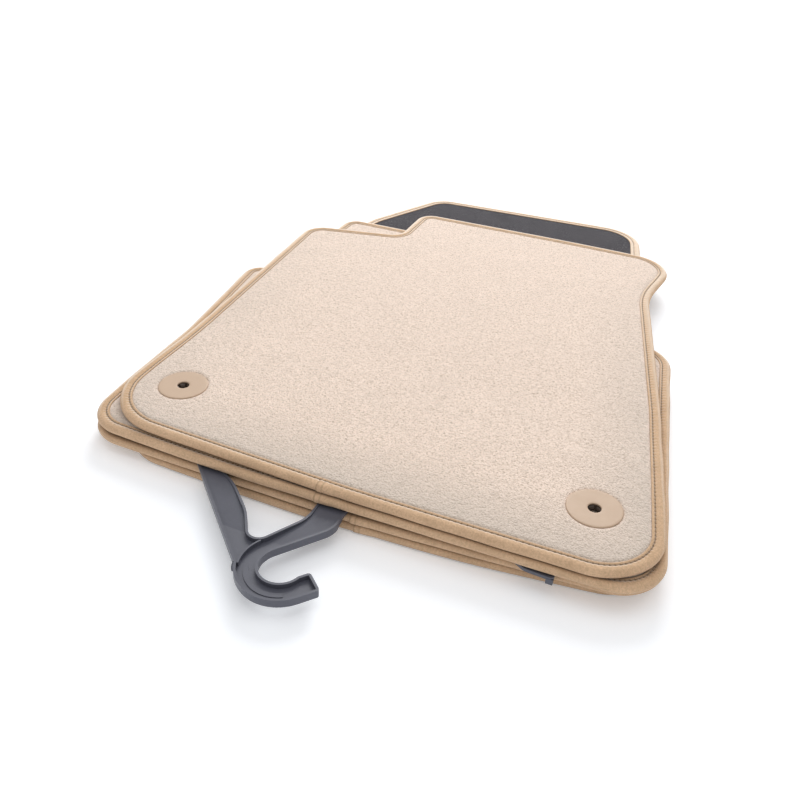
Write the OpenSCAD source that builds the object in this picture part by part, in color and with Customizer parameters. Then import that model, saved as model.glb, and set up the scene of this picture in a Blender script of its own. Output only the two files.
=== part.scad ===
// Set of four fitted car floor mats, stacked flat on a display hanger.
// X runs along the heel edges, Y from the heel edges to the far ends, Z up from the ground.

/* [Mats] */
// Thickness of one bound mat
mat_t = 7.9; // [7.4:0.1:8]
// Height from one mat's underside to the next
mat_pitch = 8; // [8:0.1:9]
// Thickness of the heavy backing sheet
backing_t = 2.2; // [1.6:0.1:2.6]

/* [Edge binding] */
// Width of the binding tape on the carpet face
tape_face_w = 11; // [10:0.25:12]
// Width of the binding tape on the backing face
tape_back_w = 13; // [12:0.25:14]
// Thickness of the tape where it lies on the sheet
tape_t = 0.9; // [0.9:0.05:1.1]
// Distance of the stitch line from the mat's edge
stitch_in = 8.5; // [7:0.25:8.75]
// Diameter of the sewing thread
thread_d = 0.5; // [0.3:0.05:0.5]

/* [Floor fixings] */
// Diameter of the rosette on the carpet
rosette_d = 45; // [42:0.5:48]
// Diameter of the hole in the rosette
rosette_hole_d = 10.8; // [10.4:0.1:12]
// Diameter of the socket that takes the floor stud
stud_bore_d = 10; // [8:0.1:10.2]
// Distance between the driver's mat's two fixings
driver_fixing_pitch = 383.6; // [370:0.2:390]
// Distance between the passenger's mat's two fixings
passenger_fixing_pitch = 355; // [340:1:360]

/* [Hanger] */
// Thickness of the hanger between the mats
hanger_t = 2.8; // [2.2:0.1:2.8]
// Depth of the hanger's side wall clear of the mats
hanger_wall_h = 6.9; // [6.2:0.1:9]
// Thickness of the hanger's rims and walls
hanger_wall_t = 2; // [1.6:0.1:2.2]
// Inner radius of the hook
hook_r = 16.75; // [16:0.25:17.5]
// Outer radius of the hook
hook_outer_r = 33.6; // [33:0.1:34.5]

/* [Hidden] */
$fn = 96;

// Heights of the mats' undersides; the hanger lies in the gap between the two rear mats.
hanger_gap = hanger_t + 0.2;
passenger_z = 0;
lower_rear_z = mat_pitch;
upper_rear_z = 2 * mat_pitch + hanger_gap;
driver_z = upper_rear_z + mat_pitch;

// Outlines, counterclockwise: each corner is [x, y, radius]. A large radius is a gentle bow.
driver_outline = [
    [-242, -287, 68],      // heel, left
    [10, -293, 1500],      // heel, bow
    [259, -287.5, 52],     // heel, right
    [219, -59, 800],       // right side, bow
    [167.5, 177.5, 140],   // right side, waist
    [185, 293.5, 46],      // ear at the far right
    [30, 294, 2000],       // far end, bow
    [-160, 288.5, 22],     // far end, left
    [-159, 204.5, 16],     // notch
    [-275, 175.5, 28],     // shoulder
    [-247.5, -150, 800]    // left side, bow
];
rear_far_corners = [
    [210, 73, 40],         // shoulder, right
    [156, 82, 18],         // tongue root, right
    [152, 247, 24],        // tongue, right
    [-248.5, 240, 20],     // tongue, left
    [-250, 56, 14],        // tongue root, left
    [-288, 49, 20],        // shoulder, left
    [-263, -115, 800]      // left side, bow
];
upper_rear_outline = [
    [-248, -294, 40],      // near edge, left
    [-100, -298.5, 1500],  // near edge, bow
    [260, -289, 40],       // near edge, right
    each rear_far_corners
];
passenger_outline = [
    [-214, -293.5, 46],    // heel, left
    [-40, -298.5, 900],    // heel, bow
    [110, -290, 900],      // heel, bow
    [254, -270, 42],       // heel, right
    [116, 434, 56],        // far end, right
    [-183, 413.5, 40],     // far end, left
    [-242, 282, 80]        // start of the taper
];
// The lower rear mat lies slightly turned, about the left of its near edge.
lower_rear_turn = 1;
lower_rear_pivot = [-240, -290];
lower_rear_near_corners = [
    [-248, -296, 40],      // near edge, left
    [30, -300, 900],       // near edge, bow
    [260, -286.5, 40]      // near edge, right
];
lower_rear_outline = [
    for (c = [each lower_rear_near_corners, each rear_far_corners]) turned_corner(c)
];
arc_steps = 8;
bow_steps = 2;
bulge_steps = 6;
shortest_edge = 0.05;
fixing_y = -220;
driver_fixing_x = -192;
passenger_fixing_x = -164;

// Layers of one mat, measured up from its backing face.
layer_gap = 0.05;
sheet_z = tape_t + layer_gap;
carpet_z = sheet_z + backing_t;
pressed_top_z = mat_t - tape_t - layer_gap;
tape_slot_in = 2.4;
sheet_in = tape_slot_in + 0.3;
pile_in = tape_face_w + 0.3;
groove_w = 0.9;
groove_depth = tape_t - 0.2;
thread_cover = 0.05;

// Floor fixings, measured up from the mat's backing face.
rosette_t = 1.6;
rosette_edge_t = 0.6;
rosette_bevel = 1;
rosette_top_z = mat_t - 0.05;
barrel_r = 13.6;
barrel_wall = 3;
barrel_z = 1.2;
seat_clear = 0.05;
sheet_hole_r = 15.6;
base_flange_r = 19;
base_flange_t = 0.8;
base_collar_t = 1.6;
base_collar_h = 3.4;
socket_flange_t = 1.1;
socket_wall = 2;
socket_z = 2.2;
socket_slots = 4;
socket_slot_w = 1.2;
socket_r = barrel_r - barrel_wall - seat_clear;
rosette_under_z = rosette_top_z - rosette_t;

// Hanger: the bar lies under the upper rear mat and the hook stands clear of the heel edges.
hanger_bottom_z = 2 * mat_pitch + 0.05;
hanger_top_z = hanger_bottom_z + hanger_t;
hanger_web_t = 1.2;
bar_web_z = hanger_bottom_z + (hanger_t - hanger_web_t) / 2;
hook_web_z = bar_web_z - 3.2;
web_slope_y = [-299, -345];
hanger_clear_y = -299;
hanger_near_y = -420;
wall_fade = 12;
hook_centre = [-4, -366.8];
hook_band_inner_r = 15;
hook_band_wide_r = 17.5;
left_arm_heading = -71;
right_arm_heading = 54;
tip_heading = 50;
tip_reach = 17;
tip_r = 2.6;
bar_left = -180;
bar_right = 180;
bar_near_y = -270;
bar_far_y = -250;
bar_end_x = 157;
bar_end_y = -292.5;
bar_flare_x = 122;
right_arm_x = 12.6;
hanger_outline = [
    [bar_left, bar_near_y, 5],
    [-152.7, bar_near_y, 10],
    [-37, -378, 3],
    hook_corner(hook_outer_r, left_arm_heading, -31, 1),
    hook_corner(hook_outer_r, -31, 9, 1),
    hook_corner(hook_outer_r, 9, tip_heading, 1),
    tip_corner(hook_outer_r),
    tip_corner(hook_band_inner_r),
    hook_corner(hook_band_inner_r, tip_heading - 180, -188, -1),
    hook_corner(hook_band_inner_r, -188, -246, -1),
    hook_corner(hook_band_wide_r, -246, right_arm_heading - 360, -1),
    [right_arm_x, -315.5, 22],
    [right_arm_x, bar_near_y, 6],
    [bar_flare_x, bar_near_y, 20],
    [bar_end_x, bar_end_y + 1, 12],
    [bar_right, bar_end_y, 3],
    [bar_right, bar_far_y, 3],
    [bar_left, bar_far_y, 5]
];
// Opening between the two arms and the bar
hanger_opening = [
    [-140, bar_near_y, 5],
    [-84, -303, 60],
    [-58, -326.5, 60],
    [-37, -357.5, 9],
    [-12.5, -313.6, 30],
    [-12.3, bar_near_y, 6]
];
bead_r = 25.5;
bead_w = 4;
bead_h = 0.6;
bead_from = 200;
bead_sweep = 103;
ledge_r = hook_outer_r - 1.6;
ledge_w = 1.4;
ledge_from = 148;
ledge_sweep = 51.4;
ledge_drop = 0.3;
lug = [2.4, 10, 5.4];
lug_angle = 196;
tooth = [5.5, 4, 5];

carpet_colour = "#ddcdb9";
tape_colour = "#b9997a";
thread_colour = "#96794f";
backing_colour = "#45434a";
rosette_colour = "#c9ab8c";
socket_colour = "#241f1d";
hanger_colour = "#4a4a52";

// Geometry of a rounded outline
function unit(v) = v / norm(v);
function left_of(v) = [-v.y, v.x];
function spot(c, i) = let (k = (i + len(c)) % len(c)) [c[k].x, c[k].y];
function heading(c, i) = unit(spot(c, i + 1) - spot(c, i));
function turn(c, i) = let (u = heading(c, i - 1), v = heading(c, i)) atan2(u.x * v.y - u.y * v.x, u * v);
function inset_spot(c, i, d) =
    let (a = left_of(heading(c, i - 1)), b = left_of(heading(c, i)))
    spot(c, i) + d * (a + b) / (1 + a * b);
function inset_r(c, i, d) = max(c[i][2] - sign(turn(c, i)) * d, 0.2);
function arc_in(c, i, d) =
    inset_spot(c, i, d) - heading(c, i - 1) * inset_r(c, i, d) * tan(abs(turn(c, i)) / 2);
function arc_centre(c, i, d) =
    arc_in(c, i, d) + sign(turn(c, i)) * inset_r(c, i, d) * left_of(heading(c, i - 1));
function arc_points(c, i, d) =
    let (
        m = arc_centre(c, i, d),
        first = arc_in(c, i, d) - m,
        steps = abs(turn(c, i)) < 12 ? bow_steps : arc_steps
    )
    [for (j = [0:steps])
        let (a = atan2(first.y, first.x) + turn(c, i) * j / steps)
        m + inset_r(c, i, d) * [cos(a), sin(a)]];
function inset_points(c, d) = [for (i = [0:len(c) - 1]) each arc_points(c, i, d)];
function turned_corner(c) =
    let (p = [c.x, c.y] - lower_rear_pivot, s = sin(lower_rear_turn), k = cos(lower_rear_turn))
    [
        lower_rear_pivot.x + p.x * k - p.y * s,
        lower_rear_pivot.y + p.x * s + p.y * k,
        c[2]
    ];
// End of the hook's straight tip, on the side of the given radius
function tip_corner(r) =
    [
        hook_centre.x + r * sin(tip_heading) + tip_reach * cos(tip_heading),
        hook_centre.y - r * cos(tip_heading) + tip_reach * sin(tip_heading),
        tip_r
    ];
// Corner where the tangents of the hook's circle at two headings meet; side is 1 outside, -1 inside.
function hook_corner(r, a, b, side) =
    let (m = (a + b) / 2, reach = r / cos((b - a) / 2))
    [hook_centre.x + side * reach * sin(m), hook_centre.y - side * reach * cos(m), r];

module outline_2d(c, d) {
    p = inset_points(c, d);
    n = len(p);
    polygon([for (i = [0:n - 1]) if (norm(p[i] - p[(i + n - 1) % n]) > shortest_edge) p[i]]);
}

// Closed ring that carries a profile round an outline. The profile runs counterclockwise: X points
// in from the outline's edge and Y points up.
module ring(c, profile) {
    rounds = [for (p = profile) [for (q = inset_points(c, p.x)) [q.x, q.y, p.y]]];
    m = len(profile);
    n = len(rounds[0]);
    polyhedron(
        points = [for (r = rounds) each r],
        faces = [
            for (k = [0:m - 1], j = [0:n - 1])
                let (l = (k + 1) % m, i = (j + 1) % n)
                [k * n + j, k * n + i, l * n + i, l * n + j]
        ]
    );
}

// Section of the folded tape: a round bulge, two legs, the slot for the sheet and two stitch grooves.
bulge_r = mat_t / 2;
tape_section = [
    [tape_slot_in, tape_t],
    [tape_slot_in, mat_t - tape_t],
    [tape_face_w, mat_t - tape_t],
    [tape_face_w, mat_t],
    [stitch_in + groove_w, mat_t],
    [stitch_in, mat_t - groove_depth],
    [stitch_in - groove_w, mat_t],
    for (a = [90:180 / bulge_steps:270]) bulge_r * [1 + cos(a), 1 + sin(a)],
    [stitch_in - groove_w, 0],
    [stitch_in, groove_depth],
    [stitch_in + groove_w, 0],
    [tape_back_w, 0],
    [tape_back_w, tape_t]
];

module binding(c) {
    color(tape_colour)
        ring(c, tape_section);
}

// Needle thread along the carpet face and bobbin thread along the backing face
module stitching(c) {
    sink = thread_cover + thread_d / 2;
    color(thread_colour)
        for (z = [sink, mat_t - sink])
            ring(c, [for (a = [0:90:270]) [stitch_in + thread_d / 2 * cos(a), z + thread_d / 2 * sin(a)]]);
}

module backing(c, fixings) {
    color(backing_colour)
        difference() {
            translate([0, 0, sheet_z])
                linear_extrude(backing_t)
                    outline_2d(c, sheet_in);
            fixing_holes(fixings);
        }
}

// Velour pile on its sheet; the rim is pressed flat under the tape.
module carpet(c, fixings) {
    color(carpet_colour)
        difference() {
            union() {
                translate([0, 0, carpet_z])
                    linear_extrude(pressed_top_z - carpet_z)
                        outline_2d(c, sheet_in);
                translate([0, 0, carpet_z])
                    linear_extrude(mat_t - carpet_z)
                        outline_2d(c, pile_in);
            }
            fixing_holes(fixings);
            for (p = fixings)
                translate([p.x, p.y, rosette_under_z - seat_clear])
                    cylinder(h = mat_t, r = rosette_d / 2 + 0.2);
        }
}

module fixing_holes(fixings) {
    for (p = fixings)
        translate([p.x, p.y, -1])
            cylinder(h = mat_t + 2, r = sheet_hole_r);
}

// Disc on the carpet with a barrel that reaches down through the mat
module rosette(p) {
    color(rosette_colour)
        translate([p.x, p.y, 0])
            rotate_extrude()
                polygon([
                    [rosette_hole_d / 2, rosette_under_z],
                    [barrel_r - barrel_wall, rosette_under_z],
                    [barrel_r - barrel_wall, barrel_z],
                    [barrel_r, barrel_z],
                    [barrel_r, rosette_under_z],
                    [rosette_d / 2, rosette_under_z],
                    [rosette_d / 2, rosette_under_z + rosette_edge_t],
                    [rosette_d / 2 - rosette_bevel, rosette_top_z],
                    [rosette_hole_d / 2, rosette_top_z]
                ]);
}

// Snap socket: a flange under the rosette and a slit sleeve that grips the floor stud
module socket(p) {
    top = rosette_under_z - seat_clear;
    sleeve_r = stud_bore_d / 2 + socket_wall;
    color(socket_colour)
        translate([p.x, p.y, 0])
            difference() {
                union() {
                    translate([0, 0, top - socket_flange_t])
                        cylinder(h = socket_flange_t, r = socket_r);
                    translate([0, 0, socket_z])
                        cylinder(h = top - socket_z, r = sleeve_r);
                }
                translate([0, 0, -1])
                    cylinder(h = mat_t + 2, d = stud_bore_d);
                for (k = [0:socket_slots - 1])
                    rotate([0, 0, 45 + k * 360 / socket_slots])
                        translate([0, -socket_slot_w / 2, socket_z - 1])
                            cube([sleeve_r + 1, socket_slot_w, top - socket_flange_t - socket_z + 1]);
            }
}

// Ring that closes the fixing on the backing and guides the rosette's barrel
module base_ring(p) {
    inner = barrel_r + seat_clear;
    color(socket_colour)
        translate([p.x, p.y, layer_gap])
            rotate_extrude()
                polygon([
                    [inner, 0],
                    [base_flange_r, 0],
                    [base_flange_r, base_flange_t],
                    [inner + base_collar_t, base_flange_t],
                    [inner + base_collar_t, base_collar_h],
                    [inner, base_collar_h]
                ]);
}

// The two fixings of a mat stand one pitch apart on a line parallel to X.
function fixing(x, pitch, side) = [x + side * pitch, fixing_y];
driver_fixings = [for (s = [0, 1]) fixing(driver_fixing_x, driver_fixing_pitch, s)];
passenger_fixings = [for (s = [0, 1]) fixing(passenger_fixing_x, passenger_fixing_pitch, s)];

module face_up(z) {
    translate([0, 0, z])
        children();
}

module face_down(z) {
    translate([0, 0, z + mat_t])
        mirror([0, 0, 1])
            children();
}

module passenger_carpet() { face_down(passenger_z) carpet(passenger_outline, passenger_fixings); }
module passenger_backing() { face_down(passenger_z) backing(passenger_outline, passenger_fixings); }
module passenger_binding() { face_down(passenger_z) binding(passenger_outline); }
module passenger_stitching() { face_down(passenger_z) stitching(passenger_outline); }
module passenger_left_rosette() { face_down(passenger_z) rosette(passenger_fixings[0]); }
module passenger_left_socket() { face_down(passenger_z) socket(passenger_fixings[0]); }
module passenger_left_base_ring() { face_down(passenger_z) base_ring(passenger_fixings[0]); }
module passenger_right_rosette() { face_down(passenger_z) rosette(passenger_fixings[1]); }
module passenger_right_socket() { face_down(passenger_z) socket(passenger_fixings[1]); }
module passenger_right_base_ring() { face_down(passenger_z) base_ring(passenger_fixings[1]); }

module lower_rear_carpet() { face_down(lower_rear_z) carpet(lower_rear_outline, []); }
module lower_rear_backing() { face_down(lower_rear_z) backing(lower_rear_outline, []); }
module lower_rear_binding() { face_down(lower_rear_z) binding(lower_rear_outline); }
module lower_rear_stitching() { face_down(lower_rear_z) stitching(lower_rear_outline); }

module upper_rear_carpet() { face_up(upper_rear_z) carpet(upper_rear_outline, []); }
module upper_rear_backing() { face_up(upper_rear_z) backing(upper_rear_outline, []); }
module upper_rear_binding() { face_up(upper_rear_z) binding(upper_rear_outline); }
module upper_rear_stitching() { face_up(upper_rear_z) stitching(upper_rear_outline); }

module driver_carpet() { face_up(driver_z) carpet(driver_outline, driver_fixings); }
module driver_backing() { face_up(driver_z) backing(driver_outline, driver_fixings); }
module driver_binding() { face_up(driver_z) binding(driver_outline); }
module driver_stitching() { face_up(driver_z) stitching(driver_outline); }
module driver_left_rosette() { face_up(driver_z) rosette(driver_fixings[0]); }
module driver_left_socket() { face_up(driver_z) socket(driver_fixings[0]); }
module driver_left_base_ring() { face_up(driver_z) base_ring(driver_fixings[0]); }
module driver_right_rosette() { face_up(driver_z) rosette(driver_fixings[1]); }
module driver_right_socket() { face_up(driver_z) socket(driver_fixings[1]); }
module driver_right_base_ring() { face_up(driver_z) base_ring(driver_fixings[1]); }

// Plan shape of the hanger, drawn in from its edges by d; the hook's seat is a true circle.
module hanger_2d(d) {
    difference() {
        outline_2d(hanger_outline, d);
        outline_2d(hanger_opening, -d);
        translate(hook_centre)
            circle(r = hook_r + d);
    }
}

module hanger_rim_2d() {
    difference() {
        hanger_2d(0);
        hanger_2d(hanger_wall_t);
    }
}

module slab(z, t) {
    translate([0, 0, z])
        linear_extrude(t)
            children();
}

// Upright ring about the hook's centre, from one angle through a sweep
module hook_ring(r, w, z, h, from, sweep) {
    translate([hook_centre.x, hook_centre.y, z])
        rotate([0, 0, from])
            rotate_extrude(angle = sweep)
                translate([r - w / 2, 0])
                    square([w, h]);
}

// Side view of the hanger, [y, z] points, swept along its whole length
module side_view(points) {
    translate([bar_left - 1, 0, 0])
        rotate([90, 0, 90])
            linear_extrude(bar_right - bar_left + 2)
                polygon(points);
}

// Thin web that fills the rims: level in the bar, sloping down along the arms, low in the hook
module hanger_web() {
    under = [
        [hanger_near_y, hook_web_z],
        [web_slope_y[1], hook_web_z],
        [web_slope_y[0], bar_web_z],
        [bar_far_y + 1, bar_web_z]
    ];
    intersection() {
        slab(hook_web_z, bar_web_z - hook_web_z + hanger_web_t)
            hanger_2d(0);
        side_view([each under, for (i = [3:-1:0]) under[i] + [0, hanger_web_t]]);
    }
}

// Deep side wall, which fades out where the arms run in under the mats
module hanger_wall() {
    wall_z = hanger_top_z - hanger_wall_h;
    intersection() {
        slab(wall_z, hanger_wall_h)
            hanger_rim_2d();
        side_view([
            [hanger_near_y, wall_z - 1],
            [hanger_clear_y - wall_fade - 1.5, wall_z - 1],
            [hanger_clear_y, hanger_bottom_z + 0.5],
            [hanger_clear_y, hanger_top_z + 1],
            [hanger_near_y, hanger_top_z + 1]
        ]);
    }
}

// One moulding: a web, a rim round every edge and a deeper wall where it stands clear
module hanger() {
    color(hanger_colour) {
        hanger_web();
        slab(hanger_bottom_z, hanger_t)
            hanger_rim_2d();
        hanger_wall();
        hook_ring(ledge_r, ledge_w, hook_web_z, hanger_top_z - hook_web_z - ledge_drop,
            ledge_from, ledge_sweep);
        hook_ring(bead_r, bead_w, hook_web_z, hanger_web_t + bead_h, bead_from, bead_sweep);
        translate([hook_centre.x, hook_centre.y, hanger_top_z - hanger_wall_h])
            rotate([0, 0, lug_angle])
                translate([hook_outer_r - 1, -lug.y / 2, 0])
                    cube([lug.x + 1, lug.y, lug.z]);
        translate([bar_right - tooth.x, bar_end_y, hanger_bottom_z + 1 - tooth.z])
            cube(tooth);
    }
}

passenger_carpet();
passenger_backing();
passenger_binding();
passenger_stitching();
passenger_left_rosette();
passenger_left_socket();
passenger_left_base_ring();
passenger_right_rosette();
passenger_right_socket();
passenger_right_base_ring();
lower_rear_carpet();
lower_rear_backing();
lower_rear_binding();
lower_rear_stitching();
hanger();
upper_rear_carpet();
upper_rear_backing();
upper_rear_binding();
upper_rear_stitching();
driver_carpet();
driver_backing();
driver_binding();
driver_stitching();
driver_left_rosette();
driver_left_socket();
driver_left_base_ring();
driver_right_rosette();
driver_right_socket();
driver_right_base_ring();
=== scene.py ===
import math

import bpy
import numpy as np
from mathutils import Matrix, Vector, geometry, kdtree


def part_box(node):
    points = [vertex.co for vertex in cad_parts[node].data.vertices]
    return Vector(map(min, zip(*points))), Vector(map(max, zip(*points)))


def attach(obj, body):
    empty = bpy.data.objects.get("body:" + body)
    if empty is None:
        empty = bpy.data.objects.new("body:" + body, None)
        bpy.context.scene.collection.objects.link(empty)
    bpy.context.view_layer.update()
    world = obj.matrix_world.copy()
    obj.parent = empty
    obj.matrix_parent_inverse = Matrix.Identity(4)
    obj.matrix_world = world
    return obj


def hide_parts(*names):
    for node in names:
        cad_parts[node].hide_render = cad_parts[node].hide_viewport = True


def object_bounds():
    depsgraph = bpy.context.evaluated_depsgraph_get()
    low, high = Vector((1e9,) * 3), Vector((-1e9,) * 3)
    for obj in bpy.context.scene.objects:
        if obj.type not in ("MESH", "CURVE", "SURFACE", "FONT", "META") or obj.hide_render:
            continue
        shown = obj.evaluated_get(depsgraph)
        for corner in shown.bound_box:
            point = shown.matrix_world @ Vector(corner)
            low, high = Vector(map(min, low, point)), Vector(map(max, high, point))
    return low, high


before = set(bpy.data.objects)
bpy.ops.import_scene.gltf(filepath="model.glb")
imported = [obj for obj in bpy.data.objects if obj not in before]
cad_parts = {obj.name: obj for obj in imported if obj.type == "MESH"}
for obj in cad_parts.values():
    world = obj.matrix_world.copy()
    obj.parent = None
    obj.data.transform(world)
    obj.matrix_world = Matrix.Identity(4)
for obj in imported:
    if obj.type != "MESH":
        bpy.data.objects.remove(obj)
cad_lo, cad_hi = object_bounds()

# Four fitted car mats on their display hanger. Every mat is rebuilt from the edge line of its CAD binding:
# a folded fabric tape, a cut-pile carpet, a heavy backing sheet, and single stitches. Lengths are in metres.

MM = 0.001

# --- the mats, from the CAD frame -------------------------------------------------------------------

MATS = {
    "passenger": {"body": "passenger_mat", "face_up": False, "fixed": True},
    "lower_rear": {"body": "lower_rear_mat", "face_up": False, "fixed": False},
    "upper_rear": {"body": "upper_rear_mat", "face_up": True, "fixed": False},
    "driver": {"body": "driver_mat", "face_up": True, "fixed": True},
}
SIDES = ("left", "right")
# how much the floor glows, beside the object and far from it
FLOOR_GLOW = (0.2, 0.7)

# --- sizes of the soft pieces -----------------------------------------------------------------------

STITCH_PITCH = 4.8 * MM
SAMPLES_PER_STITCH = 4
STITCH_INSET = 8.5 * MM
# the stitch line, measured in mm over the tape from its lip on the carpet
STITCH_GIRTH = 3.4
THREAD_R = 0.32 * MM
SHEET_INSET = 5 * MM
PILE_EDGE = (10.6 * MM, 13.4 * MM)
PILE_PRESSED = 6.4 * MM
PILE_TOP = 7.75 * MM
PILE_BOTTOM = 3.2 * MM
PILE_TUFT = 0.17 * MM
PILE_WAVE = 0.05 * MM
BACKING_SPAN = (0.9 * MM, 3.1 * MM)
DISC_R = 22.5 * MM
BARREL_HOLE_R = 13.9 * MM
RINGS_ROUND_DISC = (-3.5 * MM, -0.4 * MM, 0.7 * MM, 1.9 * MM)

# The tape's section: (distance in from the edge, height above the backing face) in mm, from the carpet
# lip over the rolled edge to the backing lip, then back along the inside of the fold.
TAPE_FACE = (
    (11.2, 6.7), (11.1, 7.25), (10.7, 7.52), (10.1, 7.6), (9.5, 7.52), (9.0, 7.28), (8.5, 7.02),
    (8.0, 7.2), (7.4, 7.5), (6.6, 7.75), (5.6, 7.88), (4.6, 7.9), (3.6, 7.84), (2.6, 7.6),
    (1.75, 7.15), (1.0, 6.5), (0.45, 5.7), (0.12, 4.85), (0, 3.95),
)
TAPE_BACK = (
    (0.12, 3.05), (0.45, 2.2), (1.0, 1.4), (1.75, 0.75), (2.6, 0.3), (3.6, 0.08), (5.0, 0.0),
    (6.8, 0.05), (8.0, 0.3), (8.5, 0.5), (9.0, 0.3), (10.5, 0.05), (12.4, 0.08), (13.0, 0.35),
)
TAPE_INSIDE = (
    (13.1, 0.85), (8.5, 1.0), (3.6, 1.0), (2.8, 1.7), (2.7, 3.95), (2.8, 6.2), (3.6, 6.7), (8.5, 6.4),
)


def box_centre(name):
    lo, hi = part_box(name)
    return (lo + hi) / 2


def smoothstep(low, high, value):
    t = np.clip((value - low) / (high - low), 0, 1)
    return t * t * (3 - 2 * t)


# --- the edge line of a mat -------------------------------------------------------------------------


def edge_corners(name):
    """The outermost ring of a CAD binding's points, in order and anticlockwise seen from above."""
    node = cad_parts[name + "_binding"]
    middle = box_centre(name + "_binding").z
    spots = {}
    links = {}
    for vertex in node.data.vertices:
        if abs(vertex.co.z - middle) < 0.2 * MM:
            spots[vertex.index] = (round(vertex.co.x, 6), round(vertex.co.y, 6))
    for edge in node.data.edges:
        a, b = (spots.get(i) for i in edge.vertices)
        if a and b and a != b:
            links.setdefault(a, set()).add(b)
            links.setdefault(b, set()).add(a)
    ring = [min(links)]
    ring.append(min(links[ring[0]]))
    while len(ring) < len(links):
        ring.append(next(p for p in links[ring[-1]] if p != ring[-2]))
    ring = np.array(ring)
    after = np.roll(ring, -1, 0)
    area = np.sum(ring[:, 0] * after[:, 1] - after[:, 0] * ring[:, 1])
    return ring if area > 0 else ring[::-1].copy()


def smooth_loop(corners, per_stitch):
    """The edge line as a smooth closed curve, evenly spaced and a whole number of stitches long."""
    after, before = np.roll(corners, -1, 0), np.roll(corners, 1, 0)
    heading = after - before
    heading /= np.linalg.norm(heading, axis=1)[:, None]
    fine = []
    for i in range(len(corners)):
        j = (i + 1) % len(corners)
        chord = np.linalg.norm(corners[j] - corners[i])
        t = np.linspace(0, 1, max(2, int(chord / (0.4 * MM))), endpoint=False)[:, None]
        fine.append(
            (2 * t**3 - 3 * t**2 + 1) * corners[i]
            + (t**3 - 2 * t**2 + t) * chord * heading[i]
            + (3 * t**2 - 2 * t**3) * corners[j]
            + (t**3 - t**2) * chord * heading[j]
        )
    fine = np.vstack(fine + [fine[0][:1]])
    length = np.concatenate([[0], np.cumsum(np.linalg.norm(np.diff(fine, axis=0), axis=1))])
    count = round(length[-1] / STITCH_PITCH) * per_stitch
    at = np.linspace(0, length[-1], count, endpoint=False)
    return np.column_stack([np.interp(at, length, fine[:, 0]), np.interp(at, length, fine[:, 1])])


def inward(loop):
    """The unit normals of an anticlockwise loop, pointing into it."""
    along = np.roll(loop, -1, 0) - np.roll(loop, 1, 0)
    along /= np.linalg.norm(along, axis=1)[:, None]
    return np.column_stack([-along[:, 1], along[:, 0]])


class Mat:
    """One mat's place, edge line and height scale."""

    def __init__(self, name):
        self.name = name
        self.__dict__.update(MATS[name])
        lo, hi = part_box(name + "_binding")
        self.lo, self.hi = lo, hi
        self.thickness = hi.z - lo.z
        self.loop = smooth_loop(edge_corners(name), SAMPLES_PER_STITCH)
        self.normal = inward(self.loop)
        self.tree = kdtree.KDTree(len(self.loop))
        for i, (x, y) in enumerate(self.loop):
            self.tree.insert((x, y, 0), i)
        self.tree.balance()
        self.fixings = []
        if self.fixed:
            self.fixings = [box_centre(f"{name}_{side}_rosette") for side in SIDES]

    def height(self, above_backing):
        """The row height of a point above the mat's backing face, in either way up."""
        return self.lo.z + above_backing if self.face_up else self.hi.z - above_backing

    def depth_in(self, points):
        """How far points are inside the edge line. Points outside it are negative."""
        depth = np.empty(len(points))
        for k, (x, y) in enumerate(points):
            _, i, distance = self.tree.find((x, y, 0))
            offset = (x - self.loop[i, 0]) * self.normal[i, 0] + (y - self.loop[i, 1]) * self.normal[i, 1]
            depth[k] = distance if offset > 0 else -distance
        return depth


# --- how the two upper mats settle round the hanger -------------------------------------------------

SETTLE_FROM = 70 * MM
SETTLE_TO = 170 * MM
SETTLE = 2.5 * MM


def settled(points, mat):
    """The points with the mats over the hanger lying down onto the pile beside it, as heavy sheets do."""
    if not mat.face_up:
        return points
    lo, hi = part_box("hanger")
    dx = np.maximum(0, np.maximum(lo.x - points[:, 0], points[:, 0] - hi.x))
    dy = np.maximum(0, points[:, 1] - hi.y)
    drop = SETTLE * smoothstep(SETTLE_FROM, SETTLE_TO, np.hypot(dx, dy))
    return points - np.column_stack([0 * drop, 0 * drop, drop])


# --- meshes -----------------------------------------------------------------------------------------


def make_piece(name, points, faces, material, body, stands_for=()):
    """A new smooth-shaded mesh object that rides on a CAD body."""
    mesh = bpy.data.meshes.new(name)
    mesh.from_pydata([tuple(p) for p in points], [], [tuple(f) for f in faces])
    mesh.validate()
    mesh.shade_smooth()
    piece = bpy.data.objects.new(name, mesh)
    bpy.context.scene.collection.objects.link(piece)
    piece.data.materials.append(material)
    if stands_for:
        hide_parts(*stands_for)
    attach(piece, body)
    return piece


def add_attribute(piece, name, values):
    attribute = piece.data.attributes.new(name, "FLOAT", "POINT")
    attribute.data.foreach_set("value", np.asarray(values, dtype=np.float32))


def tube_faces(rings, around):
    """Quads of a closed tube: rings in a loop, each with the same number of points, first ring first."""
    i = np.arange(rings)[:, None]
    j = np.arange(around)[None, :]
    i2, j2 = (i + 1) % rings, (j + 1) % around
    quads = np.stack([i * around + j, i * around + j2 + 0 * i, i2 * around + j2, i2 * around + j + 0 * j], -1)
    return quads.reshape(-1, 4)


def slow_wave(count, seed, waves=6, longest=3, shortest=40):
    """A smooth random wave round a closed loop, between about -1 and 1."""
    rng = np.random.default_rng(seed)
    t = np.linspace(0, 2 * math.pi, count, endpoint=False)
    wave = np.zeros(count)
    for _ in range(waves):
        wave += np.sin(t * rng.integers(longest, shortest) + rng.uniform(0, 2 * math.pi))
    return wave / math.sqrt(waves) / 1.2


# --- the edge binding -------------------------------------------------------------------------------

PUCKER = 0.38 * MM
PLUMPNESS = 0.22 * MM
SEAM_STEP = 0.7 * MM
SEAM_LENGTH = 16 * MM
LAP_SECOND_LINE = 4
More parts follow.
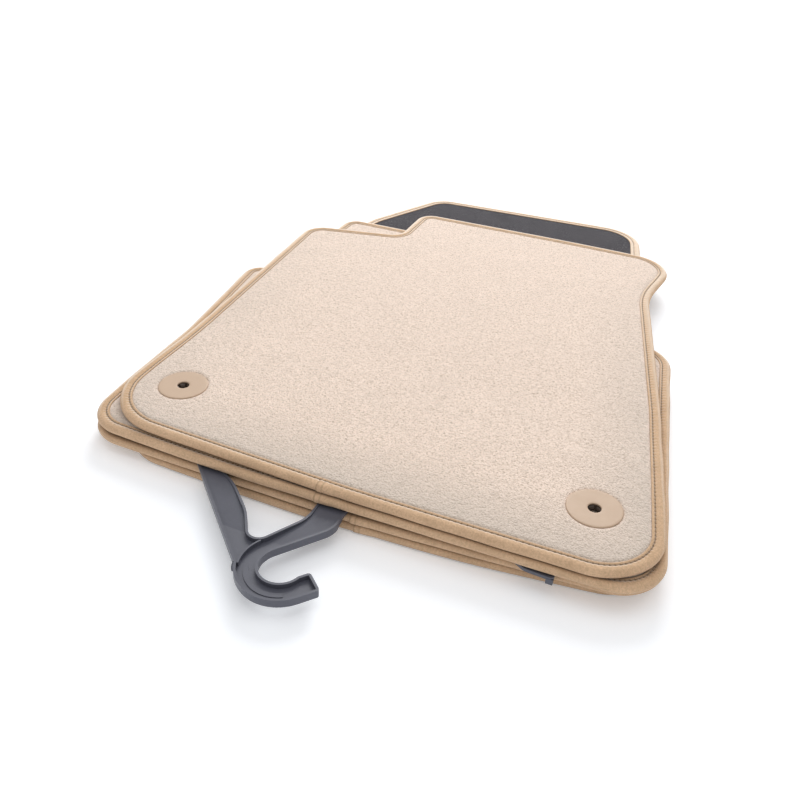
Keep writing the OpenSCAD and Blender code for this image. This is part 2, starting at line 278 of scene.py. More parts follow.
# Where each binding's ends overlap on the near edge: the share of the way from its left to its right side.
SEAM_AT = {"driver": 0.495, "upper_rear": 0.502, "lower_rear": 0.565, "passenger": 0.535}


def seam_lift(mat):
    """The extra thickness of the tape where its end laps over its start: a sharp step that fades away."""
    x = mat.lo.x + SEAM_AT[mat.name] * (mat.hi.x - mat.lo.x)
    near = mat.loop[:, 1] < (mat.lo.y + mat.hi.y) / 2
    start = int(np.argmin(np.where(near, abs(mat.loop[:, 0] - x), 1)))
    spacing = STITCH_PITCH / SAMPLES_PER_STITCH
    beyond = ((np.arange(len(mat.loop)) - start) % len(mat.loop)) * spacing
    return SEAM_STEP * np.clip(1 - beyond / SEAM_LENGTH, 0, 1) ** 0.5


def lap_line(mat):
    """1 on the two lines where the lapped end is sewn down, else 0, for each sample of the edge."""
    lift = seam_lift(mat)
    start = int(np.argmax(lift))
    line = np.zeros(len(mat.loop))
    line[[start, (start + LAP_SECOND_LINE) % len(line)]] = (1.0, 0.6)
    return line


def binding(mat, number, material):
    section = np.array(TAPE_FACE + TAPE_BACK + TAPE_INSIDE) * MM
    outside = len(TAPE_FACE) + len(TAPE_BACK)
    count, around = len(mat.loop), len(section)
    inset = np.repeat(section[None, :, 0], count, 0)
    above = np.repeat(section[None, :, 1], count, 0)
    # the thread pulls the tape in at each needle hole, most at the stitch line
    pull = 0.5 + 0.5 * np.cos(2 * math.pi * np.arange(count) / SAMPLES_PER_STITCH)
    near_line = np.exp(-((section[:, 0] - STITCH_INSET + 0.9 * MM) / (1.9 * MM)) ** 2)
    face = np.where(section[:, 1] > mat.thickness / 2, 1.0, -1.0)
    skin = (np.arange(around) < outside) * 1.0
    above -= PUCKER * pull[:, None] * (near_line * face * skin)[None, :]
    # a slightly uneven roll of the edge, and the lapped end
    outer = np.exp(-((section[:, 0]) / (3.2 * MM)) ** 2) * skin
    bulge = PLUMPNESS * slow_wave(count, number + 11) + seam_lift(mat)
    inset -= bulge[:, None] * outer[None, :]
    upper = np.exp(-((section[:, 0] - 4 * MM) / (3.5 * MM)) ** 2) * skin * face
    lift = seam_lift(mat)[:, None] * upper[None, :]
    above = np.clip(above + lift, 0, mat.thickness + 0.1 * MM)
    points = np.empty((count, around, 3))
    points[:, :, :2] = mat.loop[:, None, :] + mat.normal[:, None, :] * inset[:, :, None]
    points[:, :, 2] = mat.height(above)
    faces = tube_faces(count, around)
    if mat.face_up:
        faces = faces[:, ::-1]
    piece = make_piece(
        mat.name + "_bound_edge", settled(points.reshape(-1, 3), mat), faces,
        material, mat.body, [mat.name + "_binding"],
    )
    add_tape_map(piece, mat, section, faces, count, around)
    add_attribute(piece, "lap", np.repeat(lap_line(mat), around))
    return piece


def add_tape_map(piece, mat, section, faces, count, around):
    """A UV map in millimetres: along the tape, and the distance in from the edge."""
    layer = piece.data.uv_layers.new(name="tape")
    spacing = STITCH_PITCH / SAMPLES_PER_STITCH / MM
    girth = np.concatenate([[0], np.cumsum(np.linalg.norm(np.diff(section, axis=0), axis=1))]) / MM
    ring, place = faces // around, faces % around
    wraps = ring.max(1) - ring.min(1) > count / 2
    ring = np.where(wraps[:, None] & (ring < count / 2), ring + count, ring)
    uv = np.stack([ring * spacing, girth[place]], -1)
    layer.data.foreach_set("uv", uv.reshape(-1).astype(np.float32))


# --- the stitches -----------------------------------------------------------------------------------

STITCH_SHARE = 0.74
STITCH_STATIONS = 6
STITCH_SIDES = 6


def stitches(mat, number, material):
    """Two rows of separate stitches, on the face and the back, each a short thread sunk in at its ends."""
    rng = np.random.default_rng(number + 31)
    along = np.column_stack([mat.normal[:, 1], -mat.normal[:, 0]])
    spacing = STITCH_PITCH
    face_line = mat.thickness - 0.72 * MM
    back_line = 0.35 * MM
    points, faces = [], []
    stations = np.linspace(-0.5, 0.5, STITCH_STATIONS)
    for line, out in ((face_line, 1), (back_line, -1)):
        for k in range(0, len(mat.loop), SAMPLES_PER_STITCH):
            i = (k + SAMPLES_PER_STITCH // 2) % len(mat.loop)
            turn = rng.normal(0, 0.05)
            middle = mat.loop[i] + mat.normal[i] * (STITCH_INSET + rng.normal(0, 0.06 * MM))
            heading = along[i] * math.cos(turn) + mat.normal[i] * math.sin(turn)
            side = mat.normal[i]
            base = len(points)
            for s in stations:
                arch = out * (0.16 * MM - 1.9 * MM * abs(s) ** 3)
                radius = THREAD_R * (1 - 0.55 * abs(2 * s) ** 6)
                centre = middle + heading * s * spacing * STITCH_SHARE
                for a in range(STITCH_SIDES):
                    angle = 2 * math.pi * a / STITCH_SIDES
                    flat = centre + side * radius * 1.15 * math.cos(angle)
                    rise = line + arch + radius * math.sin(angle)
                    points.append((flat[0], flat[1], mat.height(rise)))
            for s in range(STITCH_STATIONS - 1):
                for a in range(STITCH_SIDES):
                    b = (a + 1) % STITCH_SIDES
                    low, high = base + s * STITCH_SIDES, base + (s + 1) * STITCH_SIDES
                    faces.append((low + a, high + a, high + b, low + b))
            faces.append(tuple(base + a for a in range(STITCH_SIDES)))
            last = base + (STITCH_STATIONS - 1) * STITCH_SIDES
            faces.append(tuple(last + a for a in reversed(range(STITCH_SIDES))))
    if not mat.face_up:
        faces = [face[::-1] for face in faces]
    points = settled(np.array(points), mat)
    return make_piece(
        mat.name + "_stitches", points, faces, material, mat.body, [mat.name + "_stitching"]
    )


# --- carpet and backing sheets ----------------------------------------------------------------------


def circle(centre, radius, count):
    angle = np.linspace(0, 2 * math.pi, count, endpoint=False)
    return np.column_stack([centre.x + radius * np.cos(angle), centre.y + radius * np.sin(angle)])


def loop_edges(start, count):
    return [(start + i, start + (i + 1) % count) for i in range(count)]


def triangulate(loops, loose):
    """Triangles over the area inside the first loop and outside the others, with points and rims."""
    points, edges, starts = [], [], []
    for loop in loops:
        starts.append(len(points))
        edges += loop_edges(len(points), len(loop))
        points += [Vector(p) for p in loop]
    points += [Vector(p) for p in loose]
    out = geometry.delaunay_2d_cdt(points, edges, [], 1, 1e-7)
    place, faces, source = out[0], out[2], out[3]
    index = {}
    for new, olds in enumerate(source):
        for old in olds:
            index.setdefault(old, new)
    rims = [[index[starts[n] + i] for i in range(len(loop))] for n, loop in enumerate(loops)]
    place = np.array([(p.x, p.y) for p in place])
    faces = np.array(faces)
    middles = place[faces].mean(1)
    keep = np.ones(len(faces), bool)
    for loop in loops[1:]:
        centre = loop.mean(0)
        keep &= np.linalg.norm(middles - centre, axis=1) > np.linalg.norm(loop[0] - centre) * 0.98
    return place, faces[keep], rims


def inner_grid(mat, step, seed):
    """Points of a slightly irregular triangular grid that lie well inside the sheet's border."""
    rng = np.random.default_rng(seed)
    rows = np.arange(mat.lo.y, mat.hi.y, step * math.sqrt(3) / 2)
    columns = np.arange(mat.lo.x, mat.hi.x, step)
    x, y = np.meshgrid(columns, rows)
    x[1::2] += step / 2
    grid = np.column_stack([x.ravel(), y.ravel()])
    grid += rng.uniform(-0.22, 0.22, grid.shape) * step
    grid = grid[mat.depth_in(grid) > PILE_EDGE[1] + 0.8 * step]
    for centre in mat.fixings:
        away = np.hypot(grid[:, 0] - centre.x, grid[:, 1] - centre.y)
        grid = grid[away > DISC_R + 3 * MM]
    return grid


def sheet(mat, step, seed, border_insets, rise, bottom):
    """A closed solid sheet: a fine upper surface at rise(points, depth), walls and a flat underside."""
    stride = max(1, round(step / (STITCH_PITCH / SAMPLES_PER_STITCH)))
    loop, normal = mat.loop[::stride], mat.normal[::stride]
    border = loop + normal * SHEET_INSET
    holes = [circle(centre, BARREL_HOLE_R, 56) for centre in mat.fixings]
    rings = [loop + normal * inset for inset in border_insets]
    rings += [circle(c, DISC_R + away, 88) for c in mat.fixings for away in RINGS_ROUND_DISC]
    loose = np.vstack(rings + [inner_grid(mat, step, seed)])
    flat, faces, rims = triangulate([border] + holes, loose)
    depth = mat.depth_in(flat)
    above = rise(flat, depth)
    under, under_faces, under_rims = triangulate([border] + holes, np.empty((0, 2)))
    count = len(flat)
    points = np.vstack([
        np.column_stack([flat, mat.height(above)]),
        np.column_stack([under, mat.height(np.full(len(under), bottom))]),
    ])
    walls = []
    for top_rim, low_rim in zip(rims, under_rims):
        for i in range(len(top_rim)):
            j = (i + 1) % len(top_rim)
            walls.append((top_rim[i], low_rim[i] + count, low_rim[j] + count, top_rim[j]))
    faces = faces.tolist() + (under_faces[:, ::-1] + count).tolist()
    solid = [tuple(f) for f in faces] + walls
    if not mat.face_up:
        solid = [f[::-1] for f in solid]
    depth = np.concatenate([depth, np.full(len(under), SHEET_INSET)])
    return settled(points, mat), solid, depth


def pile_height(mat, seed):
    """The carpet's upper surface: pressed under the tape and the rosettes, a soft uneven pile elsewhere."""
    rng = np.random.default_rng(seed)
    turn = 2 * math.pi
    waves = [(rng.uniform(40, 170), rng.uniform(0, turn), rng.uniform(0, turn)) for _ in range(9)]

    def rise(points, depth):
        share = smoothstep(PILE_EDGE[0], PILE_EDGE[1], depth)
        for centre in mat.fixings:
            away = np.hypot(points[:, 0] - centre.x, points[:, 1] - centre.y)
            share = share * smoothstep(DISC_R - 0.3 * MM, DISC_R + 2 * MM, away)
        uneven = np.zeros(len(points))
        for number, heading, phase in waves:
            along = points[:, 0] * math.cos(heading) + points[:, 1] * math.sin(heading)
            uneven += np.sin(number * along + phase)
        tufts = rng.uniform(-1, 1, len(points)) * PILE_TUFT
        top = PILE_TOP + PILE_WAVE * uneven / 3 + tufts
        return PILE_PRESSED * (1 - share) + top * share

    return rise


def carpet(mat, number, material):
    step = (1.95 if mat.name == "driver" else 3.4) * MM
    insets = np.array([8.2, 9.8, 10.8, 11.6, 12.5, 13.6]) * MM
    points, faces, depth = sheet(mat, step, number + 51, insets, pile_height(mat, number + 61), PILE_BOTTOM)
    piece = make_piece(
        mat.name + "_pile_carpet", points, faces, material, mat.body, [mat.name + "_carpet"]
    )
    add_attribute(piece, "depth", depth)
    return piece


def backing(mat, number, material):
    """The heavy sheet under the carpet. Its outer side is the one with the fine surface."""
    rng = np.random.default_rng(number + 81)

    def rise(points, depth):
        return BACKING_SPAN[0] + rng.uniform(0, 0.08 * MM, len(points))

    insets = np.array([8.2, 10.8, 12.4, 13.6]) * MM
    points, faces, depth = sheet(mat, 5 * MM, number + 71, insets, rise, BACKING_SPAN[1])
    faces = [f[::-1] for f in faces]
    piece = make_piece(
        mat.name + "_backing_sheet", points, faces, material, mat.body, [mat.name + "_backing"]
    )
    add_attribute(piece, "depth", depth)
    return piece


# --- the floor fixings ------------------------------------------------------------------------------


def lathe(name, centre, section, material, body, stands_for=(), sides=96):
    """A turned piece: section is a closed line of (radius, height) in metres round the upright at centre."""
    angle = np.linspace(0, 2 * math.pi, sides, endpoint=False)
    section = np.array(section)
    points = np.empty((sides, len(section), 3))
    points[:, :, 0] = centre.x + np.cos(angle)[:, None] * section[None, :, 0]
    points[:, :, 1] = centre.y + np.sin(angle)[:, None] * section[None, :, 0]
    points[:, :, 2] = section[None, :, 1]
    piece = make_piece(
        name, points.reshape(-1, 3), tube_faces(sides, len(section)), material, body, stands_for
    )
    return piece


def rosette(mat, side, material):
    """The fixing's carpet-side disc and its barrel, with the rounding that the CAD disc leaves out."""
    name = f"{mat.name}_{side}_rosette"
    lo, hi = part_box(name)
    centre = box_centre(name)
    radius = (hi.x - lo.x) / 2
    hole, barrel_in, barrel_out = 5.4 * MM, 10.65 * MM, 13.6 * MM
    disc_t = 1.6 * MM
    top = disc_t
    foot = -(hi.z - lo.z - disc_t)
    section = [
        (radius - 0.5 * MM, 0.05 * MM), (radius - 0.12 * MM, 0.3 * MM), (radius, 0.7 * MM),
        (radius - 0.05 * MM, 1.1 * MM), (radius - 0.3 * MM, 1.42 * MM), (radius - 0.9 * MM, 1.58 * MM),
        (radius - 2.2 * MM, top), (radius * 0.62, top - 0.06 * MM), (hole + 2.6 * MM, top - 0.1 * MM),
        (hole + 0.9 * MM, top - 0.12 * MM), (hole + 0.3 * MM, top - 0.25 * MM), (hole, top - 0.6 * MM),
        (hole, 0.25 * MM), (hole + 0.2 * MM, 0.0), (barrel_in, 0.0), (barrel_in, foot + 0.3 * MM),
        (barrel_in + 0.3 * MM, foot), (barrel_out - 0.3 * MM, foot), (barrel_out, foot + 0.3 * MM),
        (barrel_out, -0.3 * MM), (barrel_out + 0.4 * MM, 0.0),
    ]
    if mat.face_up:
        section = [(r, hi.z - disc_t + z) for r, z in section][::-1]
    else:
        section = [(r, lo.z + disc_t - z) for r, z in section]
    return lathe(f"{mat.name}_{side}_disc", centre, section, material, mat.body, [name])


FINGERS = 4
FINGER_GAP = 0.3


def socket_fingers(mat, side, material):
    """The spring fingers inside a socket that grip the floor stud."""
    centre = box_centre(f"{mat.name}_{side}_socket")
    half = (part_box(f"{mat.name}_{side}_socket")[1].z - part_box(f"{mat.name}_{side}_socket")[0].z) / 2
    out = 1 if mat.face_up else -1
    section = (
        (4.95, half / MM - 0.4), (4.6, half / MM - 0.35), (4.2, half / MM - 1.3), (3.4, -0.3), (2.9, -1.2),
        (3.1, -1.5), (3.8, -0.9), (4.6, half / MM - 1.6), (4.95, half / MM - 1.3),
    )
    steps = 10
    points, faces = [], []
    for finger in range(FINGERS):
        first = 2 * math.pi * (finger + FINGER_GAP / 2) / FINGERS
        span = 2 * math.pi * (1 - FINGER_GAP) / FINGERS
        base = len(points)
        for k in range(steps):
            angle = first + span * k / (steps - 1)
            for r, z in section:
                points.append((
                    centre.x + r * MM * math.cos(angle), centre.y + r * MM * math.sin(angle),
                    centre.z + out * z * MM,
                ))
        n = len(section)
        for k in range(steps - 1):
            for a in range(n):
                b = (a + 1) % n
                low, high = base + k * n, base + (k + 1) * n
                faces.append((low + a, high + a, high + b, low + b))
        faces.append(tuple(base + a for a in range(n)))
        faces.append(tuple(base + (steps - 1) * n + a for a in reversed(range(n))))
    if mat.face_up:
        faces = [f[::-1] for f in faces]
    name = f"{mat.name}_{side}_spring_fingers"
    return make_piece(name, np.array(points), faces, material, mat.body)


# --- materials --------------------------------------------------------------------------------------


class Shader:
    """A node material with the few helpers that the materials below share."""

    def __init__(self, name):
        self.material = bpy.data.materials.new(name)
        self.material.use_nodes = True
        self.tree = self.material.node_tree
        self.bsdf = self.tree.nodes["Principled BSDF"]

    def node(self, kind, settings=None, **inputs):
        made = self.tree.nodes.new(kind)
        for key, value in (settings or {}).items():
            setattr(made, key, value)
        for key, value in inputs.items():
            self.feed(made.inputs[key.replace("_", " ")], value)
        return made

    def feed(self, socket, value):
        if isinstance(value, bpy.types.NodeSocket):
            self.tree.links.new(value, socket)
        else:
            socket.default_value = value

    def set(self, **inputs):
        for key, value in inputs.items():
            self.feed(self.bsdf.inputs[key.replace("_", " ")], value)

    def place(self):
        return self.node("ShaderNodeTexCoord").outputs["Object"]

    def noise(self, vector, scale, detail=2.0, roughness=0.5):
        made = self.node("ShaderNodeTexNoise", Vector=vector, Scale=scale, Detail=detail, Roughness=roughness)
        return made.outputs["Fac"]

    def cells(self, vector, scale, randomness=1.0):
        made = self.node("ShaderNodeTexVoronoi", Vector=vector, Scale=scale, Randomness=randomness)
        return made.outputs["Distance"]

    def scale(self, value, low, high, to_low=0.0, to_high=1.0):
        made = self.node("ShaderNodeMapRange", Value=value)
        made.inputs["From Min"].default_value = low
        made.inputs["From Max"].default_value = high
        made.inputs["To Min"].default_value = to_low
        made.inputs["To Max"].default_value = to_high
        return made.outputs["Result"]

    def math(self, operation, a, b=0.0):
        made = self.node("ShaderNodeMath", {"operation": operation})
        self.feed(made.inputs[0], a)
        self.feed(made.inputs[1], b)
        return made.outputs["Value"]

    def mix(self, share, a, b, blend="MIX"):
        made = self.node("ShaderNodeMix", {"data_type": "RGBA", "blend_type": blend})
        self.feed(made.inputs["Factor"], share)
        self.feed(made.inputs["A"], a)
        self.feed(made.inputs["B"], b)
        return made.outputs["Result"]

    def facing(self, low, high):
        """0 where the surface is seen nearly square on, 1 where it's seen at a low angle."""
        weight = self.node("ShaderNodeLayerWeight", Blend=0.5).outputs["Facing"]
        return self.scale(weight, low, high)

    def upward(self, low, high):
        """1 where the surface looks up, 0 where it looks sideways or down."""
        normal = self.node("ShaderNodeNewGeometry").outputs["Normal"]
        return self.scale(self.node("ShaderNodeSeparateXYZ", Vector=normal).outputs["Z"], low, high)

    def crevice(self, reach, power):
        """1 deep in a narrow gap, 0 in the open: the mask for painted shade in gaps."""
        open_share = self.node("ShaderNodeAmbientOcclusion", {"samples": 8}, Distance=reach).outputs["AO"]
        return self.math("POWER", self.math("SUBTRACT", 1.0, open_share), power)

    def bump(self, height, distance, strength=1.0, under=None):
        made = self.node("ShaderNodeBump", Height=height, Distance=distance, Strength=strength)
        if under is not None:
            self.feed(made.inputs["Normal"], under)
        return made.outputs["Normal"]


def colour(r, g, b):
    return (r, g, b, 1.0)


def carpet_material():
    """Beige velour: cream tufts with painted shade in the gaps between them, a broad nap, and painted shade
    that greys it beside the binding, less where it is seen at a low angle.
    """
    s = Shader("velour")
    at = s.place()
    tufts = s.cells(at, 620)
    curl = s.noise(at, 460, 3, 0.6)
    worms = s.noise(at, 250, 2, 0.5)
    patches = s.noise(at, 26, 3, 0.55)
    grain = s.noise(at, 1500, 2, 0.6)
    depth = s.node("ShaderNodeAttribute", {"attribute_name": "depth"}).outputs["Fac"]
    edge = s.scale(depth, 0.010, 0.075, 1, 0)
    # painted shade: the gaps between the tufts, mixed with the curl noise, turn toward the deep brown
    light, deep = colour(0.985, 0.805, 0.685), colour(0.50, 0.385, 0.29)
    gaps = s.scale(s.math("ADD", s.scale(tufts, 0.25, 0.75), s.scale(curl, 0.5, 0.66)), 0.5, 1.9)
    body = s.mix(gaps, light, deep)
    body = s.mix(s.scale(worms, 0.42, 0.62, 0, 0.24), body, colour(0.57, 0.45, 0.355))
    body = s.mix(s.scale(grain, 0.35, 0.7, 0, 0.22), body, colour(0.52, 0.41, 0.32))
    body = s.mix(s.scale(patches, 0.35, 0.7, 0, 0.16), body, colour(0.68, 0.56, 0.47))
    # painted shade: the carpet greys near the binding, less where it is seen at a low angle
    edge_shade = s.math("MULTIPLY", edge, s.math("SUBTRACT", 0.62, s.math("MULTIPLY", s.facing(0.38, 0.62), 0.62)))
    body = s.mix(edge_shade, body, colour(0.52, 0.455, 0.39))
    relief = s.math("SUBTRACT", s.math("ADD", curl, worms), s.scale(tufts, 0, 1, 0, 0.8))
    s.set(Base_Color=body, Roughness=0.95, Sheen_Weight=0.45, Sheen_Roughness=0.5,
          Normal=s.bump(relief, 1.3 * MM, 0.8))
    s.bsdf.inputs["Specular IOR Level"].default_value = 0.1
    return s.material


def tape_material():
    """Tan brushed tape with a fine diagonal weave along it, a painted sheen where its top is seen at a low
    angle, and painted shade in the needle holes on the stitch line and in the gaps between the mats.
    """
    s = Shader("binding_tape")
    at = s.place()
    tape_map = s.node("ShaderNodeUVMap", {"uv_map": "tape"}).outputs["UV"]
    split = s.node("ShaderNodeSeparateXYZ", Vector=tape_map)
    along, across = split.outputs["X"], split.outputs["Y"]
    twill = s.math("SINE", s.math("MULTIPLY", s.math("ADD", along, across), 2 * math.pi / 0.75))
    ribs = s.math("SINE", s.math("MULTIPLY", along, 2 * math.pi / 0.55))
    fuzz = s.noise(at, 640, 4, 0.7)
    wear = s.noise(at, 60, 4, 0.6)
    base = s.mix(s.scale(wear, 0.3, 0.7), colour(0.80, 0.545, 0.345), colour(0.68, 0.455, 0.28))
    base = s.mix(s.scale(fuzz, 0.38, 0.66, 0, 0.5), base, colour(0.38, 0.245, 0.145))
    weave = s.math("ADD", s.math("MULTIPLY", twill, 0.6), s.math("MULTIPLY", ribs, 0.4))
    base = s.mix(s.scale(weave, -1, 1, 0.2, 0.0), base, colour(0.36, 0.25, 0.16))
    # painted sheen: where the tape's upper side is seen at a low angle, its colour turns toward cream,
    # standing in for the light on the brushed nap
    painted_sheen = s.math("MULTIPLY", s.facing(0.46, 0.72), s.upward(0.7, 0.97))
    base = s.mix(s.math("MULTIPLY", painted_sheen, 0.85), base, colour(0.97, 0.86, 0.74))
    lap = s.node("ShaderNodeAttribute", {"attribute_name": "lap"}).outputs["Fac"]
    base = s.mix(s.math("MULTIPLY", lap, 0.5), base, colour(0.22, 0.13, 0.075))
    # painted shade: a dark dot in the needle's pit at the end of each stitch
    pitch = STITCH_PITCH / MM
    from_pit = s.math("PINGPONG", along, pitch / 2)
    from_line = s.math("SUBTRACT", across, STITCH_GIRTH)
    apart = s.math("SQRT", s.math("ADD", s.math("POWER", from_pit, 2), s.math("POWER", from_line, 2)))
    base = s.mix(s.scale(apart, 0.5, 1.25, 0.75, 0), base, colour(0.13, 0.075, 0.04))
    # painted shade: dark brown deep in the narrow gaps, such as between the stacked mats
    base = s.mix(s.crevice(7 * MM, 2.5), base, colour(0.10, 0.055, 0.03))
    relief = s.math("ADD", s.math("MULTIPLY", weave, 0.35), fuzz)
    s.set(Base_Color=base, Roughness=0.85, Sheen_Weight=0.3, Sheen_Roughness=0.4,
          Sheen_Tint=colour(1.0, 0.9, 0.78), Normal=s.bump(relief, 0.3 * MM, 0.8))
    s.bsdf.inputs["Specular IOR Level"].default_value = 0.2
    return s.material


def thread_material():
    """Brown polyester thread, two-ply, slightly glossy."""
    s = Shader("sewing_thread")
    at = s.place()
    ply = s.node("ShaderNodeTexWave", {"wave_type": "BANDS", "bands_direction": "DIAGONAL"},
                 Vector=at, Scale=900.0, Distortion=1.5).outputs["Fac"]
    shade = s.noise(at, 200, 2)
    base = s.mix(s.scale(shade, 0.3, 0.7), colour(0.40, 0.285, 0.19), colour(0.31, 0.215, 0.14))
    base = s.mix(s.scale(ply, 0, 1, 0.25, 0.0), base, colour(0.14, 0.09, 0.055))
    s.set(Base_Color=base, Roughness=0.55, Sheen_Weight=0.2, Normal=s.bump(ply, 0.12 * MM, 0.6))
    return s.material


def backing_material():
    """Charcoal needle felt over rubber: matt, with pale fibres and a fine pimple."""
    s = Shader("felt_backing")
    at = s.place()
    fibres = s.noise(at, 900, 4, 0.7)
    pimples = s.cells(at, 420)
    clouds = s.noise(at, 30, 3)
    base = s.mix(s.scale(clouds, 0.3, 0.7), colour(0.031, 0.028, 0.034), colour(0.042, 0.038, 0.045))
    specks = s.scale(s.noise(at, 1700, 2, 0.5), 0.64, 0.7)
    base = s.mix(s.scale(fibres, 0.54, 0.74, 0, 0.4), base, colour(0.19, 0.185, 0.19))
    base = s.mix(specks, base, colour(0.42, 0.41, 0.41))
    relief = s.math("SUBTRACT", fibres, s.scale(pimples, 0, 1, 0, 0.7))
    s.set(Base_Color=base, Roughness=0.92, Sheen_Weight=0.08, Normal=s.bump(relief, 0.6 * MM, 0.6))
    s.bsdf.inputs["Specular IOR Level"].default_value = 0.2
    return s.material


def moulded_plastic(name, base, other, roughness, grain_scale, grain_depth, flow=0.25):
    """Moulded plastic: a fine spark-eroded grain, a slow change of tone, and lighter, rougher scuff streaks.
    """
    s = Shader(name)
    at = s.place()
    grain = s.noise(at, grain_scale, 3, 0.6)
    clouds = s.noise(at, 45, 4, 0.6)
    stretched = s.node("ShaderNodeMapping", Vector=at, Scale=(160, 420, 160)).outputs["Vector"]
    scuffs = s.noise(stretched, 1, 3, 0.7)
    tone = s.mix(s.scale(clouds, 0.3, 0.7), base, other)
    tone = s.mix(s.scale(scuffs, 0.58, 0.8, 0, flow), tone, colour(*(min(1, c * 1.6) for c in base[:3])))
    s.set(Base_Color=tone, Roughness=s.scale(scuffs, 0.3, 0.75, roughness, roughness + 0.14),
          Normal=s.bump(grain, grain_depth, 0.5))
    return s.material


def floor_material():
    """A white sweep that glows a little, so that it reads as the white ground of a product photograph."""
    s = Shader("white_sweep")
    at = s.place()
    faint = s.scale(s.noise(at, 3, 2), 0.3, 0.7)
    s.set(Base_Color=s.mix(faint, colour(0.90, 0.925, 0.965), colour(0.92, 0.94, 0.97)), Roughness=0.9)
    s.bsdf.inputs["Emission Color"].default_value = colour(1, 1, 1)
    away = s.node("ShaderNodeVectorMath", {"operation": "LENGTH"}, Vector=at).outputs["Value"]
    s.feed(s.bsdf.inputs["Emission Strength"], s.scale(away, 0.45, 1.2, *FLOOR_GLOW))
    s.bsdf.inputs["Specular IOR Level"].default_value = 0.0
    return s.material


# --- the object -------------------------------------------------------------------------------------

velour = carpet_material()
tape = tape_material()
thread = thread_material()
felt = backing_material()
tan_plastic = moulded_plastic(
    "tan_moulding", colour(0.55, 0.40, 0.285), colour(0.52, 0.375, 0.265), 0.5, 900, 0.08 * MM, 0.1
)
brown_plastic = moulded_plastic(
    "brown_socket", colour(0.05, 0.032, 0.022), colour(0.075, 0.05, 0.035), 0.28, 700, 0.05 * MM
)
grey_plastic = moulded_plastic(
    "grey_hanger", colour(0.078, 0.081, 0.104), colour(0.092, 0.095, 0.122), 0.33, 800, 0.07 * MM
)


def finish_cad_node(name, material, rounding=0.0):
    """Gives a carried-over CAD node its finish, and small rounded edges."""
    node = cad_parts[name]
    node.data.materials.clear()
    node.data.materials.append(material)
    if rounding:
        bevel = node.modifiers.new("rounding", "BEVEL")
        bevel.width = rounding
        bevel.segments = 2
        bevel.limit_method = "ANGLE"
        bevel.angle_limit = math.radians(40)
        bevel.harden_normals = False


mats = [Mat(name) for name in MATS]
for number, mat in enumerate(mats):
    binding(mat, number, tape)
    stitches(mat, number, thread)
    carpet(mat, number, velour)
    backing(mat, number, felt)
    for side in SIDES if mat.fixed else ():
        rosette(mat, side, tan_plastic)
        socket_fingers(mat, side, brown_plastic)
        finish_cad_node(f"{mat.name}_{side}_socket", brown_plastic, 0.15 * MM)
        finish_cad_node(f"{mat.name}_{side}_base_ring", brown_plastic, 0.2 * MM)
finish_cad_node("hanger", grey_plastic, 0.35 * MM)

# --- stage, light and camera ------------------------------------------------------------------------

FLOOR_SIZE = 12.0


def add_floor():
    mesh = bpy.data.meshes.new("white_floor")
    half = FLOOR_SIZE / 2
    corners = [(-half, -half, 0), (half, -half, 0), (half, half, 0), (-half, half, 0)]
    mesh.from_pydata(corners, [], [(0, 1, 2, 3)])
    floor = bpy.data.objects.new("white_floor", mesh)
    floor.location.z = cad_lo.z
    floor.data.materials.append(floor_material())
    bpy.context.scene.collection.objects.link(floor)


def add_light(name, place, aim, size, power, tint=(1, 1, 1)):
    light = bpy.data.lights.new(name, "AREA")
    light.size = size
    light.energy = power
    light.color = tint
    holder = bpy.data.objects.new(name, light)
    holder.location = place
    holder.rotation_euler = (Vector(aim) - Vector(place)).to_track_quat("-Z", "Y").to_euler()
    bpy.context.scene.collection.objects.link(holder)


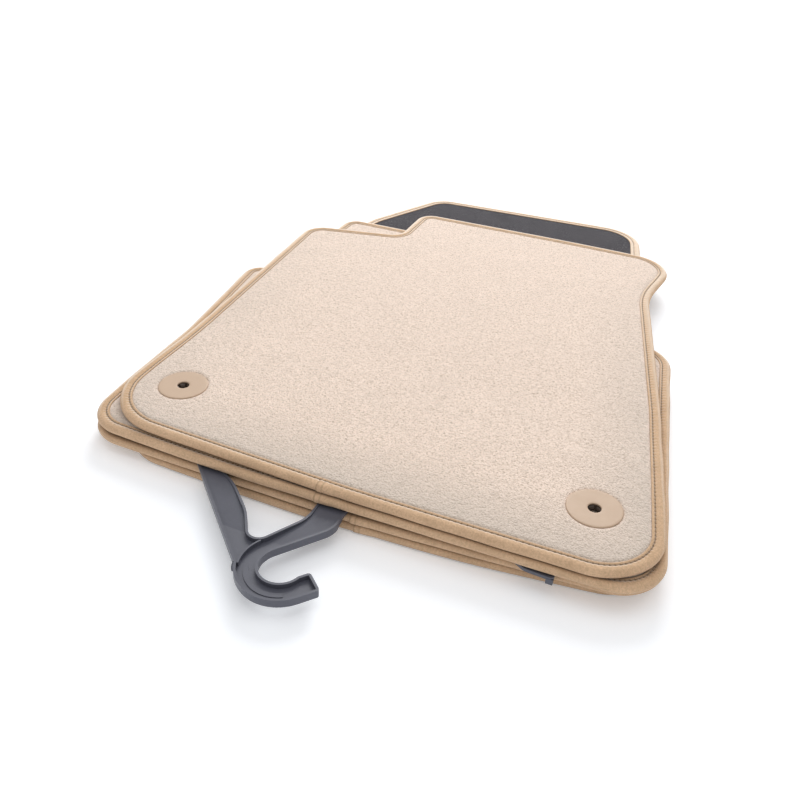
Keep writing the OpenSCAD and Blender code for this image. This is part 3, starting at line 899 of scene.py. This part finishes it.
def add_world(strength):
    """An even white room: it lights the object with the given strength and is plain white behind it."""
    world = bpy.data.worlds.new("studio")
    world.use_nodes = True
    tree = world.node_tree
    background = tree.nodes["Background"]
    background.inputs["Color"].default_value = (1, 1, 1, 1)
    seen = tree.nodes.new("ShaderNodeMapRange")
    seen.inputs["To Min"].default_value = strength
    seen.inputs["To Max"].default_value = 1.0
    tree.links.new(tree.nodes.new("ShaderNodeLightPath").outputs["Is Camera Ray"], seen.inputs["Value"])
    tree.links.new(seen.outputs["Result"], background.inputs["Strength"])
    bpy.context.scene.world = world


# The photograph's view, from the near right and above: where the camera stands from the middle of the
# driver's mat's two fixings, which way it looks, and its lens.
CAMERA_FROM_FIXINGS = Vector((0.2319, -0.5179, 0.4264))
CAMERA_YAW = -0.38189
CAMERA_PITCH = 0.594136
CAMERA_ROLL = -0.050812
CAMERA_LENS = 37.5


def add_camera():
    camera = bpy.data.objects.new("camera", bpy.data.cameras.new("camera"))
    camera.data.lens = CAMERA_LENS
    camera.data.sensor_width = 36
    camera.data.clip_start = 0.01
    fixings = [box_centre(f"driver_{side}_rosette") for side in SIDES]
    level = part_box("driver_binding")[1].z
    middle = (fixings[0] + fixings[1]) / 2
    place = Vector((middle.x, middle.y, level)) + CAMERA_FROM_FIXINGS
    ahead = Vector((
        math.sin(CAMERA_YAW) * math.cos(CAMERA_PITCH),
        math.cos(CAMERA_YAW) * math.cos(CAMERA_PITCH),
        -math.sin(CAMERA_PITCH),
    ))
    right = Vector((math.cos(CAMERA_YAW), -math.sin(CAMERA_YAW), 0))
    down = ahead.cross(right)
    rolled_right = math.cos(CAMERA_ROLL) * right + math.sin(CAMERA_ROLL) * down
    rolled_down = math.cos(CAMERA_ROLL) * down - math.sin(CAMERA_ROLL) * right
    axes = Matrix((rolled_right, -rolled_down, -ahead)).transposed()
    camera.matrix_world = Matrix.Translation(place) @ axes.to_4x4()
    bpy.context.scene.collection.objects.link(camera)
    bpy.context.scene.camera = camera


add_floor()
add_world(0.63)
centre = (cad_lo + cad_hi) / 2
add_light("far_softbox", centre + Vector((-0.45, 1.65, 1.2)), centre, 1.3, 34)
add_light("top_softbox", centre + Vector((0.25, -0.1, 1.9)), centre, 1.6, 7)
add_camera()
bpy.context.scene.view_settings.view_transform = "Standard"
bpy.context.scene.view_settings.look = "None"
